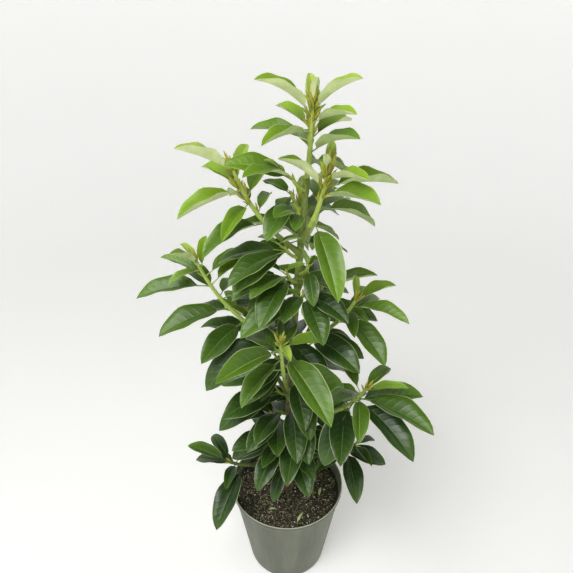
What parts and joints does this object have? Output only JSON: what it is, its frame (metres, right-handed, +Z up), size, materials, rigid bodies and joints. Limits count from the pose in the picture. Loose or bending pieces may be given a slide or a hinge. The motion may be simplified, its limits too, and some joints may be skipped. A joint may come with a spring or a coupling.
{
  "type": "avocado tree in a pot",
  "caption": "Young avocado tree with one slender trunk, rising boughs and glossy drooping leaves, in a plain round nursery pot filled with soil.",
  "frame": {"origin": "middle of the pot's flat underside", "axes": "+Z up along the pot's axis, -Y towards the plant's front, +X to the right seen from the front"},
  "size_m": [0.5602, 0.5244, 1.1754],
  "materials": {
    "pot_plastic": "grey-green thin moulded plastic, slightly satin",
    "soil": "dark moist potting mix with white perlite and bits of bark",
    "trunk_bark": "grey-brown young bark, turning green towards the top",
    "green_wood": "smooth yellow-green young wood",
    "grown_leaves": "glossy fresh green leaves with pale undersides",
    "old_leaves": "glossy dark green leaves"
  },
  "bodies": {
    "root": {"pot": "pot_plastic", "soil": "soil", "trunk": "trunk_bark", "base_left_bough": "green_wood", "base_right_bough": "green_wood", "front_bough": "green_wood", "lower_left_bough": "green_wood", "rear_high_bough": "green_wood", "rear_left_bough": "green_wood", "rear_low_bough": "green_wood", "rear_right_bough": "green_wood", "right_low_bough": "green_wood", "right_mid_bough": "green_wood", "upper_left_bough": "green_wood", "upper_right_bough": "green_wood", "base_left_leaves": "grown_leaves", "base_right_leaves": "grown_leaves", "front_leaves": "grown_leaves", "leader_leaves": "grown_leaves", "lower_left_leaves": "grown_leaves", "rear_high_leaves": "grown_leaves", "rear_left_leaves": "grown_leaves", "rear_low_leaves": "grown_leaves", "rear_right_leaves": "grown_leaves", "right_low_leaves": "grown_leaves", "right_mid_leaves": "grown_leaves", "upper_left_leaves": "grown_leaves", "upper_right_leaves": "grown_leaves", "inner_1_leaves": "old_leaves", "inner_2_leaves": "old_leaves", "inner_3_leaves": "old_leaves", "inner_4_leaves": "old_leaves", "inner_5_leaves": "old_leaves", "inner_6_leaves": "old_leaves", "inner_7_leaves": "old_leaves", "inner_8_leaves": "old_leaves", "inner_9_leaves": "old_leaves", "inner_10_leaves": "old_leaves", "inner_11_leaves": "old_leaves", "inner_12_leaves": "old_leaves", "inner_13_leaves": "old_leaves", "inner_14_leaves": "old_leaves", "inner_15_leaves": "old_leaves", "inner_16_leaves": "old_leaves", "inner_17_leaves": "old_leaves", "inner_18_leaves": "old_leaves", "inner_19_leaves": "old_leaves", "inner_20_leaves": "old_leaves", "inner_21_leaves": "old_leaves", "inner_22_leaves": "old_leaves", "inner_23_leaves": "old_leaves", "inner_24_leaves": "old_leaves", "inner_25_leaves": "old_leaves", "inner_26_leaves": "old_leaves"}
  },
  "joints": []
}
